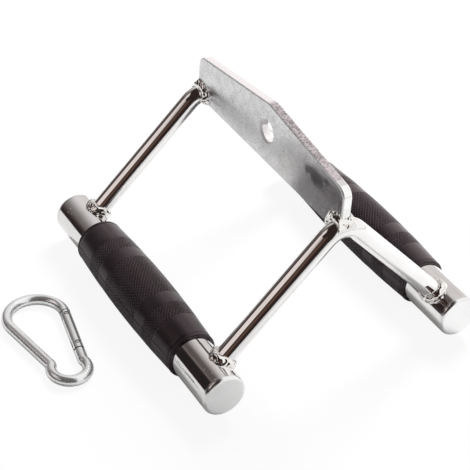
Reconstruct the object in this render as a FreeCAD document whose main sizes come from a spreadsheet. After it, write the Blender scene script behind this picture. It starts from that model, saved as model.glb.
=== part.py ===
import FreeCAD, Part
import os

import Sketcher

# Close-grip V handle for a cable machine, with the snap hook that belongs to it.
# Frame: origin at the centre of the hook hole, X across the two handles, Y along them, Z up.
# The handle lies on its two grips, and the snap hook lies beside it on the same floor.

Vector = FreeCAD.Vector
DOCUMENT = FreeCAD.newDocument("triceps_bar")

# The sketcher counts the points of a line or an arc up from 1, and its two axes down from -1.
START, END, CENTRE = range(1, 4)
X_AXIS_LINE, Y_AXIS_LINE = range(-1, -3, -1)
ORIGIN = (X_AXIS_LINE, START)

SIZES = [
    # Handles
    ("handle_spacing", 192.5, "between the two handle axes"),
    ("handle_drop", 115.9, "hook hole centre down to the handle axes"),
    ("tube_length", 229.0, "handle tube, end to end"),
    ("tube_radius", 16.0, "handle tube, outside"),
    ("tube_wall", 2.0, "handle tube wall"),
    ("cap_flange", 3.8, "end cap, thickness that shows"),
    ("cap_round", 2.4, "end cap, rounding of its rim"),
    ("cap_skirt", 9.0, "end cap, depth of the skirt inside the tube"),
    ("cap_wall", 1.6, "end cap, wall of the skirt"),
    ("cap_fit", 0.08, "end cap, radial clearance in the tube"),
    ("grip_fit", 0.05, "rubber grip, radial clearance on the tube"),
    ("grip_belly_wall", 4.6, "rubber grip, thickness at the middle"),
    ("grip_end_wall", 2.0, "rubber grip, thickness at the ends"),
    ("grip_edge_round", 1.2, "rubber grip, rounding of the end rim"),
    ("grip_front_gap", 24.35, "front rod's axis to the grip"),
    ("grip_rear_gap", 21.15, "rear rod's axis to the grip"),
    # Bent rods
    ("rod_radius", 7.0, "bent rod"),
    ("rod_inset", 18.25, "tube end to the axis of the bent rod"),
    ("rod_bend_radius", 17.3, "bent rod, axis radius of the bend at the top"),
    ("rod_top_drop", 21.62, "hook hole centre down to the rod's axis at the bend"),
    ("rod_foot_rise", 2.6, "leg axis above the handle axis, at the handle"),
    # Hanger plate
    ("plate_thickness", 7.2, "hanger plate"),
    ("plate_end_reach", 2.95, "hanger plate, from the rod's axis to the plate's end"),
    ("plate_foot_cover", 2.6, "hanger plate, bottom edge under the rods' axis"),
    ("plate_peak_rise", 22.7, "top of the plate over the hook hole centre"),
    ("plate_end_rise", 9.4, "top of the plate at its ends, before the corner is rounded"),
    ("plate_corner_radius", 8.0, "upper corners of the plate"),
    ("plate_peak_round", 12.0, "peak of the plate"),
    ("plate_edge_round", 1.2, "long edges and ends of the plate's two faces"),
    ("hole_radius", 8.0, "hook hole"),
    ("hole_chamfer", 1.5, "hook hole, chamfer at both rims"),
    # Weld beads
    ("foot_weld_leg", 2.9, "foot bead, how far it stands out round the rod"),
    ("foot_weld_rise", 4.8, "foot bead, how far it stands out from the tube"),
    ("foot_weld_round", 2.5, "foot bead, rounding of its crown"),
    ("plate_weld_drop", 2.25, "plate bead, centre of its round under the rod's axis"),
    ("plate_weld_height", 8.0, "plate bead, height on the plate"),
    ("plate_weld_width", 4.5, "plate bead, width along the rod"),
    ("plate_weld_end", 5.5, "plate bead, height where the plate ends"),
    ("plate_weld_wrap", 3.5, "plate bead, how far it wraps past the plate's end"),
    ("plate_weld_belly_share", 0.62, "plate bead, share of its height left at half its width"),
    # Snap hook
    ("hook_aside", 70.85, "centre of the hook's large bow, from the left handle's axis"),
    ("hook_rearward", 31.3, "centre of the hook's large bow, to the rear of the hook hole"),
    ("hook_turn", -100.9, "degrees, direction in which the gate points"),
    ("hook_wire_radius", 4.0, "hook wire"),
    ("hook_bow_radius", 21.0, "large bow, axis radius"),
    ("hook_eye_radius", 12.7, "small bow, axis radius"),
    ("hook_eye_reach", 60.4, "small bow's centre along the gate, from the large bow's centre"),
    ("hook_eye_rise", 9.9, "small bow's centre towards the gate, from the large bow's centre"),
    ("hook_back_lean", 21.2, "degrees between the back leg and the gate"),
    ("hook_shoulder_radius", 5.5, "reverse bends next to the small bow, axis radius"),
    ("nose_gap", 0.5, "between the gate's end and the nose"),
    ("gate_pivot_reach", 4.5, "hinge rivet, from the end of the large bow"),
    ("gate_length", 38.9, "hinge rivet to the gate's free end"),
    ("gate_latch_reach", 33.0, "hinge rivet to the latch pin"),
    ("rivet_radius", 1.25, "hinge rivet"),
    ("rivet_fit", 0.08, "hinge rivet, radial clearance in the tongue"),
    ("rivet_inset", 0.2, "hinge rivet and latch pin, their ends under the wire's crown"),
    ("pin_radius", 1.25, "latch pin"),
    ("tongue_half_thickness", 1.3, "hinge and latch tongues"),
    ("tongue_inset", 0.4, "hinge and latch tongues, their edges under the wire's crown"),
    ("tongue_side_fit", 0.2, "gap each side of a tongue in its slot"),
    ("tongue_root", 1.0, "how far a tongue is rooted in the wire"),
    ("hinge_tongue_reach", 3.0, "hinge tongue, from the rivet to its flat end"),
    ("hinge_slot_reach", 5.2, "hinge slot, from the rivet to its floor"),
    ("latch_lip", 2.2, "latch tongue, width of the lip past the notch"),
    ("latch_notch_fit", 0.5, "latch notch, gap each side of the pin"),
    ("latch_seat_fit", 0.1, "latch notch, gap over the pin"),
    ("latch_slot_fit", 0.6, "latch slot, gap past the lip"),
    ("bore_radius", 1.5, "bore in the gate for plunger and spring"),
    ("bore_offset", 1.0, "bore, off the gate's axis towards the inside of the hook"),
    ("bore_reach", 19.5, "bore, from the rivet to its bottom"),
    ("plunger_radius", 1.42, "plunger"),
    ("plunger_length", 6.0, "plunger"),
    ("plunger_gap", 0.1, "plunger, gap to the tongue with the gate shut"),
    ("spring_radius", 1.0, "spring, to the middle of its wire"),
    ("spring_wire_radius", 0.22, "spring wire"),
    ("spring_turns", 3.0, "spring, number of turns"),
    ("spring_gap", 0.1, "spring, gap to the plunger and to the bore's bottom"),
    # Tool allowance
    ("overrun", 2.0, "how far every cutting shape runs past what it cuts"),
]

# Places that follow from the sizes, as expressions for the sheet.
HANDLE_X = "(sizes.handle_spacing / 2)"
HANDLE_Z = "(-sizes.handle_drop)"
CAP_SEAT = "(sizes.tube_length / 2)"
CAP_PLUG_RADIUS = "(sizes.tube_radius - sizes.tube_wall - sizes.cap_fit)"

ROD_Y = f"({CAP_SEAT} - sizes.rod_inset)"
ROD_TOP = "(-sizes.rod_top_drop)"
# A leg is tangent to the bend and runs to its foot: the line from the bend's centre to the foot
# has one angle, and the tangent leans off it by another.
BEND_DEPTH = "(sizes.handle_drop - sizes.rod_foot_rise - sizes.rod_top_drop - sizes.rod_bend_radius)"
BEND_TO_FOOT = f"sqrt({BEND_DEPTH} ^ 2 + {HANDLE_X} ^ 2)"
ROD_LEAN = f"(atan({BEND_DEPTH} / {HANDLE_X}) + asin(sizes.rod_bend_radius / {BEND_TO_FOOT}))"

GRIP_BORE = "(sizes.tube_radius + sizes.grip_fit)"
GRIP_BELLY = f"({GRIP_BORE} + sizes.grip_belly_wall)"
GRIP_HALF = f"({ROD_Y} - (sizes.grip_front_gap + sizes.grip_rear_gap) / 2)"
GRIP_SHIFT = "((sizes.grip_front_gap - sizes.grip_rear_gap) / 2)"

PLATE_HALF = f"({ROD_Y} + sizes.plate_end_reach)"
PLATE_FOOT = f"({ROD_TOP} - sizes.plate_foot_cover)"

HOOK_X = f"(-{HANDLE_X} - sizes.hook_aside)"
HOOK_Z = f"({HANDLE_Z} - {GRIP_BELLY} + sizes.hook_wire_radius)"
TONGUE_HALF_HEIGHT = "(sizes.hook_wire_radius - sizes.tongue_inset)"
RIVET_HALF_LENGTH = "(sizes.hook_wire_radius - sizes.rivet_inset)"
PIVOT_X = "sizes.gate_pivot_reach"
LATCH_X = "(sizes.gate_pivot_reach + sizes.gate_latch_reach)"
GATE_END_X = "(sizes.gate_pivot_reach + sizes.gate_length)"
NOSE_X = f"({GATE_END_X} + sizes.nose_gap)"
NOTCH_HALF = "(sizes.pin_radius + sizes.latch_notch_fit)"
LIP_END_X = f"({LATCH_X} - {NOTCH_HALF} - sizes.latch_lip)"
SLOT_HALF = "(sizes.tongue_half_thickness + sizes.tongue_side_fit)"
BORE_Y = "(sizes.hook_bow_radius - sizes.bore_offset)"
PLUNGER_X = "(sizes.gate_pivot_reach + sizes.hinge_tongue_reach + sizes.plunger_gap)"
SPRING_X = f"({PLUNGER_X} + sizes.plunger_length + sizes.spring_gap + sizes.spring_wire_radius)"
BORE_END_X = "(sizes.gate_pivot_reach + sizes.bore_reach)"
SPRING_LENGTH = f"({BORE_END_X} - sizes.spring_gap - sizes.spring_wire_radius - {SPRING_X})"

PARTS = []


def make_sheet():
    sheet = DOCUMENT.addObject("Spreadsheet::Sheet", "sizes")
    for row, (alias, value, meaning) in enumerate(SIZES, start=1):
        sheet.set(f"A{row}", meaning)
        sheet.set(f"B{row}", str(value))
        sheet.setAlias(f"B{row}", alias)
    DOCUMENT.recompute()
    return sheet


SHEET = make_sheet()


def value_of(expression):
    """The number that an expression gives with the sizes as they are now."""
    result = SHEET.evalExpression(str(expression))
    return float(getattr(result, "Value", result))


# Points closer than this to a line or plane count as lying on it when edges are picked.
EDGE_TOLERANCE = value_of("sizes.overrun") / 1000


def publish(thing, node):
    """Names a finished sub-part, whose shape is written to its own file."""
    thing.Label = node
    PARTS.append(thing)
    return thing


def bind(thing, **expressions):
    for name, expression in expressions.items():
        thing.setExpression(name, str(expression))


def place(thing, x=0, y=0, z=0, turn=0, axis=Vector(0, 0, 1)):
    """Puts an object at x, y, z, turned by degrees about an axis of its own."""
    thing.Placement = FreeCAD.Placement(Vector(0, 0, 0), FreeCAD.Rotation(axis, value_of(turn)))
    for path, expression in (("x", x), ("y", y), ("z", z)):
        thing.setExpression(f"Placement.Base.{path}", str(expression))
    thing.setExpression("Placement.Rotation.Angle", str(turn))
    return thing


# Sketch helpers

def new_body(name):
    return DOCUMENT.addObject("PartDesign::Body", name)


def new_sketch(body, name, role):
    sketch = body.newObject("Sketcher::SketchObject", name)
    planes = [feature for feature in body.Origin.OriginFeatures if feature.Role == role]
    sketch.AttachmentSupport = [(planes[0], "")]
    sketch.MapMode = "FlatFace"
    return sketch


def dimension(sketch, kind, references, expression):
    """Adds a driving dimension whose value comes from the sheet."""
    index = sketch.addConstraint(Sketcher.Constraint(kind, *references, value_of(expression)))
    sketch.setExpression(f"Constraints[{index}]", str(expression))


def fix_point(sketch, geometry, position, x, y):
    """Holds a sketch point at x, y, which are expressions or zero."""
    for kind, axis_line, expression in (("DistanceX", Y_AXIS_LINE, x), ("DistanceY", X_AXIS_LINE, y)):
        value = value_of(expression)
        if expression == 0:
            sketch.addConstraint(Sketcher.Constraint("PointOnObject", geometry, position, axis_line))
        elif value >= 0:
            dimension(sketch, kind, (*ORIGIN, geometry, position), expression)
        else:
            dimension(sketch, kind, (geometry, position, *ORIGIN), f"-({expression})")


def add_circle(sketch, x, y, radius):
    centre = Vector(value_of(x), value_of(y), 0)
    index = sketch.addGeometry(Part.Circle(centre, Vector(0, 0, 1), value_of(radius)), False)
    fix_point(sketch, index, CENTRE, x, y)
    dimension(sketch, "Radius", (index,), radius)
    return index


def add_polygon(sketch, corners):
    """A closed outline of straight lines through corners given as pairs of expressions."""
    points = [Vector(value_of(x), value_of(y), 0) for x, y in corners]
    lines = []
    for first, second in zip(points, points[1:] + points[:1]):
        lines.append(sketch.addGeometry(Part.LineSegment(first, second), False))
    for before, after in zip(lines, lines[1:] + lines[:1]):
        sketch.addConstraint(Sketcher.Constraint("Coincident", before, END, after, START))
    for line, (x, y) in zip(lines, corners):
        fix_point(sketch, line, START, x, y)
    return lines


def pad(body, sketch, name, length):
    """A pad that grows by half of its length to each side of the sketch."""
    feature = body.newObject("PartDesign::Pad", name)
    feature.Profile = sketch
    feature.SideType = "Symmetric"
    bind(feature, Length=length)
    return feature


def pocket(body, sketch, name, length):
    feature = body.newObject("PartDesign::Pocket", name)
    feature.Profile = sketch
    feature.SideType = "Symmetric"
    bind(feature, Length=length)
    return feature


def revolve(body, sketch, name, axis):
    feature = body.newObject("PartDesign::Revolution", name)
    feature.Profile = sketch
    feature.ReferenceAxis = (sketch, [axis])
    feature.Angle = 360
    return feature


def edges_where(shape, test):
    return [index for index, edge in enumerate(shape.Edges, start=1) if test(edge)]


def sample_points(edge):
    """Its two ends, or one point and the opposite one where it is closed, and its middle."""
    first, last = edge.FirstParameter, edge.LastParameter
    return [edge.valueAt(first + (last - first) * share) for share in (0, 0.5, 1)]


def round_edges(body, base, name, radius, test, kind="PartDesign::Fillet"):
    """Rounds or chamfers the edges of the body's last feature that pass a test."""
    DOCUMENT.recompute()
    found = edges_where(base.Shape, test)
    feature = body.newObject(kind, name)
    feature.Base = (base, [f"Edge{index}" for index in found])
    bind(feature, **{"Size" if kind.endswith("Chamfer") else "Radius": radius})
    return feature


# Part helpers

def primitive(kind, name, **sizes):
    thing = DOCUMENT.addObject(f"Part::{kind}", name)
    bind(thing, **sizes)
    return thing


def cut(name, base, tool):
    thing = DOCUMENT.addObject("Part::Cut", name)
    thing.Base = base
    thing.Tool = tool
    return thing


def common(name, base, tool):
    thing = DOCUMENT.addObject("Part::Common", name)
    thing.Base = base
    thing.Tool = tool
    return thing


def fuse(name, things):
    thing = DOCUMENT.addObject("Part::MultiFuse", name)
    thing.Shapes = things
    thing.Refine = True
    return thing


# Handles

def make_tube(side, sign):
    body = new_body(f"{side}_handle_tube_body")
    sketch = new_sketch(body, f"{side}_tube_section", "XZ_Plane")
    add_circle(sketch, 0, 0, "sizes.tube_radius")
    add_circle(sketch, 0, 0, "(sizes.tube_radius - sizes.tube_wall)")
    pad(body, sketch, f"{side}_tube_pad", "sizes.tube_length")
    place(body, x=f"{sign} * {HANDLE_X}", z=HANDLE_Z)
    return publish(body, f"{side}_handle_tube")


def make_cap(side, sign, end, end_sign):
    """A cup with a thick flange that covers the tube's end and a skirt pressed into its bore."""
    name = f"{side}_{end}_end_cap"
    body = new_body(f"{name}_body")
    sketch = new_sketch(body, f"{name}_profile", "XY_Plane")
    inner = f"({CAP_PLUG_RADIUS} - sizes.cap_wall)"
    add_polygon(sketch, [
        (0, 0),
        (inner, 0),
        (inner, "-sizes.cap_skirt"),
        (CAP_PLUG_RADIUS, "-sizes.cap_skirt"),
        (CAP_PLUG_RADIUS, 0),
        ("sizes.tube_radius", 0),
        ("sizes.tube_radius", "sizes.cap_flange"),
        (0, "sizes.cap_flange"),
    ])
    turned = revolve(body, sketch, f"{name}_revolution", "V_Axis")
    rim = value_of("sizes.cap_flange")
    radius = value_of("sizes.tube_radius")

    def is_rim(edge):
        points = sample_points(edge)
        return all(abs(p.y - rim) < EDGE_TOLERANCE for p in points) and all(
            abs((p.x ** 2 + p.z ** 2) ** 0.5 - radius) < EDGE_TOLERANCE for p in points)

    round_edges(body, turned, f"{name}_rim", "sizes.cap_round", is_rim)
    turn = 0 if end_sign > 0 else 180
    place(body, x=f"{sign} * {HANDLE_X}", y=f"{end_sign} * {CAP_SEAT}", z=HANDLE_Z, turn=turn)
    return publish(body, name)


def make_grip(side, sign):
    """A barrel-shaped sleeve, revolved from one long arc with a small round at each end."""
    body = new_body(f"{side}_grip_body")
    sketch = new_sketch(body, f"{side}_grip_profile", "XY_Plane")
    rise = "(sizes.grip_belly_wall - sizes.grip_end_wall)"
    barrel_radius = f"(({GRIP_HALF} ^ 2 + {rise} ^ 2) / (2 * {rise}))"
    inner = value_of(GRIP_BORE)
    half = value_of(GRIP_HALF)
    rim = value_of("sizes.grip_edge_round")
    reach = value_of(barrel_radius)

    # The small round touches the end's line and the long arc from inside.
    middle = Vector(value_of(GRIP_BELLY) - reach, 0, 0)
    rim_y = half - rim
    rim_x = middle.x + ((reach - rim) ** 2 - rim_y ** 2) ** 0.5
    tilt = angle_of(Vector(rim_x, rim_y, 0) - middle)
    circle = Part.Circle(middle, Vector(0, 0, 1), reach)
    barrel = sketch.addGeometry(Part.ArcOfCircle(circle, -tilt, tilt), False)
    ends = []
    for way in (-1, 1):
        circle = Part.Circle(Vector(rim_x, way * rim_y, 0), Vector(0, 0, 1), rim)
        angles = sorted((way * tilt, way * radians(90)))
        arc = sketch.addGeometry(Part.ArcOfCircle(circle, *angles), False)
        line = sketch.addGeometry(Part.LineSegment(Vector(inner, way * half, 0),
                                                   Vector(rim_x, way * half, 0)), False)
        ends.append((arc, line))
    bore = sketch.addGeometry(Part.LineSegment(Vector(inner, -half, 0), Vector(inner, half, 0)), False)

    (low_arc, low_line), (high_arc, high_line) = ends
    for first, first_end, second, second_end in (
            (barrel, START, low_arc, END), (low_arc, START, low_line, END),
            (barrel, END, high_arc, START), (high_arc, END, high_line, END)):
        sketch.addConstraint(Sketcher.Constraint("Tangent", first, first_end, second, second_end))
    fix_point(sketch, barrel, CENTRE, f"({GRIP_BELLY} - {barrel_radius})", 0)
    dimension(sketch, "Radius", (barrel,), barrel_radius)
    for arc, line, bore_end, y in ((low_arc, low_line, START, f"-{GRIP_HALF}"),
                                   (high_arc, high_line, END, GRIP_HALF)):
        dimension(sketch, "Radius", (arc,), "sizes.grip_edge_round")
        fix_point(sketch, line, START, GRIP_BORE, y)
        sketch.addConstraint(Sketcher.Constraint("Horizontal", line))
        sketch.addConstraint(Sketcher.Constraint("Coincident", bore, bore_end, line, START))
    revolve(body, sketch, f"{side}_grip_revolution", "V_Axis")
    place(body, x=f"{sign} * {HANDLE_X}", y=GRIP_SHIFT, z=HANDLE_Z)
    return publish(body, f"{side}_grip")


# Bent rods

def make_rod(end, end_sign):
    """Half of the V is a pipe along an arc and a line; the other half is its mirror image."""
    name = f"{end}_rod"
    body = new_body(f"{name}_body")
    section = new_sketch(body, f"{name}_section", "YZ_Plane")
    add_circle(section, 0, ROD_TOP, "sizes.rod_radius")

    route = new_sketch(body, f"{name}_route", "XZ_Plane")
    lean = value_of(f"{ROD_LEAN} / 1 deg")
    bend = value_of("sizes.rod_bend_radius")
    foot = Vector(value_of(HANDLE_X), value_of(f"{HANDLE_Z} + sizes.rod_foot_rise"), 0)
    middle = Vector(0, value_of(ROD_TOP) - bend, 0)
    circle = Part.Circle(middle, Vector(0, 0, 1), bend)
    arc = Part.ArcOfCircle(circle, radians(90 - lean), radians(90))
    bend_arc = route.addGeometry(arc, False)
    leg = route.addGeometry(Part.LineSegment(arc.StartPoint, foot), False)
    route.addConstraint(Sketcher.Constraint("Tangent", bend_arc, START, leg, START))
    route.addConstraint(Sketcher.Constraint("PointOnObject", bend_arc, END, Y_AXIS_LINE))
    fix_point(route, bend_arc, CENTRE, 0, f"{ROD_TOP} - sizes.rod_bend_radius")
    dimension(route, "Radius", (bend_arc,), "sizes.rod_bend_radius")
    fix_point(route, leg, END, HANDLE_X, f"({HANDLE_Z} + sizes.rod_foot_rise)")

    pipe = body.newObject("PartDesign::AdditivePipe", f"{name}_pipe")
    pipe.Profile = section
    pipe.Spine = (route, ["Edge1", "Edge2"])
    mirror = body.newObject("PartDesign::Mirrored", f"{name}_mirror")
    mirror.Originals = [pipe]
    planes = [feature for feature in body.Origin.OriginFeatures if feature.Role == "YZ_Plane"]
    mirror.MirrorPlane = (planes[0], [""])
    body.Tip = mirror

    # The feet are cut to the round of the tubes that they stand on.
    mouths = new_sketch(body, f"{name}_mouths", "XZ_Plane")
    for sign in (-1, 1):
        add_circle(mouths, f"{sign} * {HANDLE_X}", HANDLE_Z, "sizes.tube_radius")
    pocket(body, mouths, f"{name}_mouth_pocket", "2 * (sizes.rod_radius + sizes.overrun)")
    place(body, y=f"{end_sign} * {ROD_Y}")
    return publish(body, name)


def radians(degrees):
    return FreeCAD.Units.Quantity(degrees, "deg").getValueAs("rad").Value


# Hanger plate

def make_plate(rods):
    body = new_body("hanger_plate_body")
    outline = new_sketch(body, "plate_outline", "YZ_Plane")
    add_polygon(outline, [
        (f"-{PLATE_HALF}", PLATE_FOOT),
        (PLATE_HALF, PLATE_FOOT),
        (PLATE_HALF, "sizes.plate_end_rise"),
        (0, "sizes.plate_peak_rise"),
        (f"-{PLATE_HALF}", "sizes.plate_end_rise"),
    ])
    blank = pad(body, outline, "plate_pad", "sizes.plate_thickness")
    reach = value_of(PLATE_HALF)
    end_rise = value_of("sizes.plate_end_rise")
    peak = value_of("sizes.plate_peak_rise")
    foot = value_of(PLATE_FOOT)

    def is_corner(edge):
        return all(abs(abs(p.y) - reach) < EDGE_TOLERANCE and abs(p.z - end_rise) < EDGE_TOLERANCE
                   for p in sample_points(edge))

    def is_peak(edge):
        return all(abs(p.z - peak) < EDGE_TOLERANCE for p in sample_points(edge))

    corners = round_edges(body, blank, "plate_corners", "sizes.plate_corner_radius", is_corner)
    crest = round_edges(body, corners, "plate_crest", "sizes.plate_peak_round", is_peak)
    face = value_of("sizes.plate_thickness / 2")

    def is_face_rim(edge):
        """Any edge of the two faces but the foot's, which sits on the rods."""
        points = sample_points(edge)
        return (all(abs(abs(p.x) - face) < EDGE_TOLERANCE for p in points)
                and any(p.z > foot + EDGE_TOLERANCE for p in points))

    round_edges(body, crest, "plate_face_rims", "sizes.plate_edge_round", is_face_rim)
    hole = new_sketch(body, "hook_hole_circle", "YZ_Plane")
    add_circle(hole, 0, 0, "sizes.hole_radius")
    drilled = pocket(body, hole, "hook_hole_pocket", "sizes.plate_thickness + 2 * sizes.overrun")
    radius = value_of("sizes.hole_radius")

    def is_hole_rim(edge):
        return all(abs((p.y ** 2 + p.z ** 2) ** 0.5 - radius) < EDGE_TOLERANCE
                   and abs(abs(p.x) - face) < EDGE_TOLERANCE for p in sample_points(edge))

    round_edges(body, drilled, "hook_hole_rims", "sizes.hole_chamfer", is_hole_rim,
                kind="PartDesign::Chamfer")
    saddled = body
    for index, rod in enumerate(rods):
        saddled = cut(f"plate_saddle_{index}", saddled, rod)
    return publish(saddled, "hanger_plate")


# Weld beads

def make_foot_weld(side, sign, end, end_sign, rod):
    """Where a thickened rod meets a thickened tube, rounded and less both of them."""
    name = f"{side}_{end}_foot_weld"
    y = f"{end_sign} * {ROD_Y}"
    tilt = f"{-sign} * (90 - {ROD_LEAN} / 1 deg)"
    length = "4 * sizes.rod_radius"
    rod_sleeve = primitive("Cylinder", f"{name}_rod_sleeve", Height="2 * sizes.tube_radius",
                           Radius="sizes.rod_radius + sizes.foot_weld_leg")
    place(rod_sleeve, x=f"{sign} * {HANDLE_X}", y=y, z=f"{HANDLE_Z} + sizes.rod_foot_rise",
          turn=tilt, axis=Vector(0, 1, 0))
    tubes = []
    for kind, radius in (("sleeve", "sizes.tube_radius + sizes.foot_weld_rise"),
                         ("core", "sizes.tube_radius")):
        tube = primitive("Cylinder", f"{name}_tube_{kind}", Radius=radius, Height=length)
        place(tube, x=f"{sign} * {HANDLE_X}", y=f"{y} + {length} / 2", z=HANDLE_Z, turn=90,
              axis=Vector(1, 0, 0))
        tubes.append(tube)
    sleeve, core = tubes
    crossing = common(f"{name}_crossing", rod_sleeve, sleeve)
    DOCUMENT.recompute()
    axis_x = value_of(f"{sign} * {HANDLE_X}")
    axis_z = value_of(HANDLE_Z)
    outside = value_of("sizes.tube_radius + sizes.foot_weld_rise")

    def is_crown(edge):
        return all(abs(((p.x - axis_x) ** 2 + (p.z - axis_z) ** 2) ** 0.5 - outside) < EDGE_TOLERANCE
                   for p in sample_points(edge))

    crown = DOCUMENT.addObject("Part::Fillet", f"{name}_crown")
    crown.Base = crossing
    radius = value_of("sizes.foot_weld_round")
    crown.Edges = [(index, radius, radius) for index in edges_where(crossing.Shape, is_crown)]
    on_tube = cut(f"{name}_on_tube", crown, core)
    return publish(cut(f"{name}_bead", on_tube, rod), name)


def make_plate_weld(end, end_sign, plate, rod):
    """One bead up both sides of the plate and round its end, turned about the rod's axis."""
    name = f"{end}_plate_weld"
    ring = new_body(f"{name}_ring_body")
    profile = new_sketch(ring, f"{name}_profile", "XZ_Plane")
    face = "(sizes.plate_thickness / 2)"
    toe = f"({face} + sizes.plate_weld_width)"
    shoulder = f"({face} + sizes.plate_weld_width / 2)"
    high = "(sizes.rod_radius + sizes.plate_weld_height)"
    middle = "(sizes.rod_radius + sizes.plate_weld_height * sizes.plate_weld_belly_share)"
    low = f"(sizes.rod_radius + sizes.plate_weld_drop - {toe} ^ 2 / (2 * sizes.rod_bend_radius))"
    add_polygon(profile, [
        (f"-{toe}", 0), (toe, 0), (toe, low), (shoulder, middle), (face, high),
        (f"-{face}", high), (f"-{shoulder}", middle), (f"-{toe}", low),
    ])
    revolve(ring, profile, f"{name}_revolution", "H_Axis")

    field = new_body(f"{name}_field_body")
    reach = f"({high} + sizes.overrun)"
    plate_end = "sizes.plate_end_reach"
    plate_foot = "(sizes.plate_weld_drop - sizes.plate_foot_cover)"
    wrap_end = f"({plate_end} + sizes.plate_weld_wrap)"
    side_view = new_sketch(field, f"{name}_side_view", "YZ_Plane")
    add_polygon(side_view, [
        (f"-{reach}", plate_foot),
        (plate_end, plate_foot),
        (wrap_end, "sizes.plate_weld_drop"),
        (wrap_end, "sizes.rod_radius + sizes.plate_weld_drop - sizes.plate_weld_wrap"),
        (plate_end, "sizes.rod_radius + sizes.plate_weld_end"),
        (0, reach),
        (f"-{reach}", reach),
    ])
    pad(field, side_view, f"{name}_field_pad", f"2 * ({toe} + sizes.overrun)")

    turn = 0 if end_sign > 0 else 180
    for body in (ring, field):
        place(body, y=f"{end_sign} * {ROD_Y}", z=f"{ROD_TOP} - sizes.plate_weld_drop", turn=turn)
    bead = common(f"{name}_common", ring, field)
    beside_plate = cut(f"{name}_beside_plate", bead, plate)
    return publish(cut(f"{name}_bead", beside_plate, rod), name)


# Snap hook: everything here is drawn with the large bow's centre as origin, X along the gate.

def place_hook(thing):
    return place(thing, x=HOOK_X, y="sizes.hook_rearward", z=HOOK_Z, turn="sizes.hook_turn")


def hook_route():
    """Centres and end angles of the arcs between the large bow and the nose, in degrees."""
    bow = value_of("sizes.hook_bow_radius")
    eye = value_of("sizes.hook_eye_radius")
    bend = value_of("sizes.hook_shoulder_radius")
    eye_centre = Vector(value_of("sizes.hook_eye_reach"), value_of("sizes.hook_eye_rise"), 0)
    turn = FreeCAD.Rotation(Vector(0, 0, 1), value_of("sizes.hook_back_lean"))
    back = {}
    for name, along, outward in (
            ("back", turn.multVec(Vector(1, 0, 0)), turn.multVec(Vector(0, -1, 0))),
            ("nose", Vector(1, 0, 0), Vector(0, 1, 0))):
        # The reverse bend touches the straight from outside and the small bow from outside.
        height = (bow + bend) - eye_centre.dot(outward)
        run = eye_centre.dot(along) - ((eye + bend) ** 2 - height ** 2) ** 0.5
        centre = along * run + outward * (bow + bend)
        back[name] = (centre, along * run + outward * bow,
                      eye_centre + (centre - eye_centre) * (eye / (eye + bend)))
    return eye_centre, back


def make_hook_wire():
    body = new_body("hook_wire_body")
    section = new_sketch(body, "hook_section", "XZ_Plane")
    add_circle(section, "-sizes.hook_bow_radius", 0, "sizes.hook_wire_radius")
    bow = value_of("sizes.hook_bow_radius")
    bow_circle = Part.Circle(Vector(0, 0, 0), Vector(0, 0, 1), bow)

    # From the left of the large bow up to the hinge.
    upper = new_sketch(body, "hook_upper_route", "XY_Plane")
    arc = upper.addGeometry(Part.ArcOfCircle(bow_circle, radians(90), radians(180)), False)
    fix_point(upper, arc, CENTRE, 0, 0)
    upper.addConstraint(Sketcher.Constraint("PointOnObject", arc, START, Y_AXIS_LINE))
    upper.addConstraint(Sketcher.Constraint("PointOnObject", arc, END, X_AXIS_LINE))
    dimension(upper, "Radius", (arc,), "sizes.hook_bow_radius")

    # From the same place down the back leg, round the small bow and up to the nose.
    eye_centre, bends = hook_route()
    lower = new_sketch(body, "hook_lower_route", "XY_Plane")
    back_centre, back_touch, back_eye = bends["back"]
    nose_centre, nose_touch, nose_eye = bends["nose"]

    def arc_between(centre, first, second):
        """The arc that runs anticlockwise from the first point to the second."""
        start = Vector(first - centre)
        finish = Vector(second - centre)
        circle = Part.Circle(centre, Vector(0, 0, 1), start.Length)
        return Part.ArcOfCircle(circle, angle_of(start), angle_of(finish))

    leg_start = FreeCAD.Rotation(Vector(0, 0, 1), value_of("sizes.hook_back_lean")).multVec(
        Vector(0, -bow, 0))
    nose_end = Vector(value_of(NOSE_X), bow, 0)
    bow_arc = lower.addGeometry(arc_between(Vector(0, 0, 0), Vector(-bow, 0, 0), leg_start), False)
    leg = lower.addGeometry(Part.LineSegment(leg_start, back_touch), False)
    back_bend = lower.addGeometry(arc_between(back_centre, back_eye, back_touch), False)
    eye_arc = lower.addGeometry(arc_between(eye_centre, back_eye, nose_eye), False)
    nose_bend = lower.addGeometry(arc_between(nose_centre, nose_touch, nose_eye), False)
    nose = lower.addGeometry(Part.LineSegment(nose_touch, nose_end), False)
    for first, first_end, second, second_end in (
            (bow_arc, END, leg, START), (leg, END, back_bend, END), (back_bend, START, eye_arc, START),
            (eye_arc, END, nose_bend, END), (nose_bend, START, nose, START)):
        lower.addConstraint(Sketcher.Constraint("Tangent", first, first_end, second, second_end))
    fix_point(lower, bow_arc, CENTRE, 0, 0)
    lower.addConstraint(Sketcher.Constraint("PointOnObject", bow_arc, START, X_AXIS_LINE))
    fix_point(lower, eye_arc, CENTRE, "sizes.hook_eye_reach", "sizes.hook_eye_rise")
    for geometry, radius in ((bow_arc, "bow"), (eye_arc, "eye"), (back_bend, "shoulder"),
                             (nose_bend, "shoulder")):
        dimension(lower, "Radius", (geometry,), f"sizes.hook_{radius}_radius")
    fix_point(lower, nose, END, NOSE_X, "sizes.hook_bow_radius")
    lower.addConstraint(Sketcher.Constraint("Horizontal", nose))
    dimension(lower, "Angle", (leg,), "sizes.hook_back_lean * 1 deg")

    for name, route, count in (("upper", upper, 1), ("lower", lower, 6)):
        pipe = body.newObject("PartDesign::AdditivePipe", f"hook_{name}_pipe")
        pipe.Profile = section
        pipe.Spine = (route, [f"Edge{index}" for index in range(1, count + 1)])
    return place_hook(body)


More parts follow.
